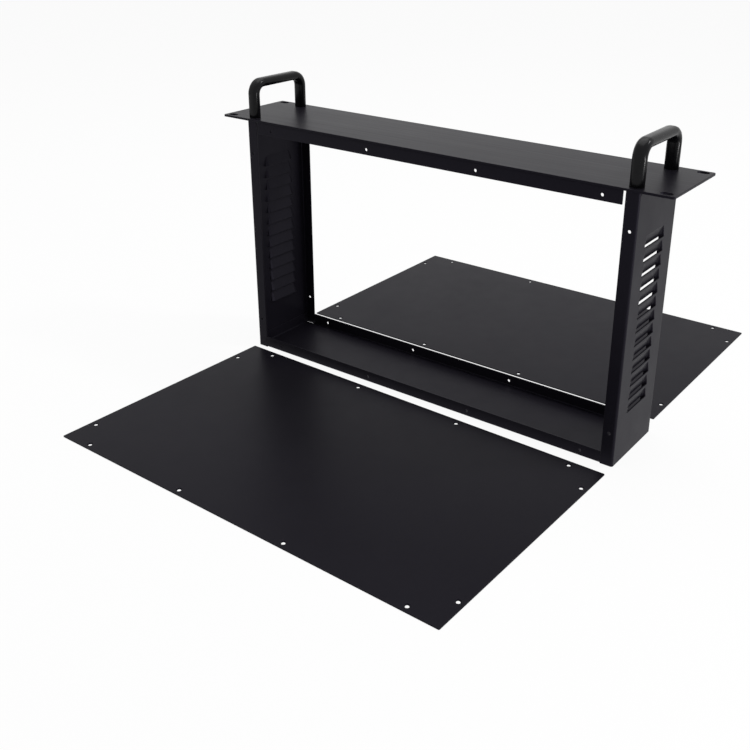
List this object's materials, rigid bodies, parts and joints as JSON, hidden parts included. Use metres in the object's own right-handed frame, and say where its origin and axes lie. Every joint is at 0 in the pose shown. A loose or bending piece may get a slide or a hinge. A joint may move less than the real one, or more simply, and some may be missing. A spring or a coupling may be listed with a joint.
{
  "type": "sheet metal chassis",
  "caption": "Low rack chassis in black sheet steel: a frame with louvred side walls, a front panel with ears and grab handles, and flat screw-on covers laid beside it.",
  "frame": {"origin": "middle of the rear wall's outer face, which is the surface the chassis stands on", "axes": "+Z out through the front panel, +X along the panel to the right, -Y towards the side that the top cover closes"},
  "size_m": [0.4826, 0.6134, 0.29],
  "materials": {
    "panel_finish": "brushed along its length and black anodised",
    "frame_finish": "satin black powder coat",
    "cover_finish": "satin black powder coat",
    "handle_finish": "smooth semi-gloss black anodised",
    "screw_finish": "black oxide"
  },
  "bodies": {
    "root": {"front_panel": "panel_finish", "front_rail": "frame_finish", "side_wall_left": "frame_finish", "side_wall_right": "frame_finish", "rear_wall": "frame_finish", "handle_left": "handle_finish", "handle_right": "handle_finish", "handle_screws": "screw_finish", "top_cover": "cover_finish", "bottom_cover": "cover_finish"}
  },
  "joints": []
}
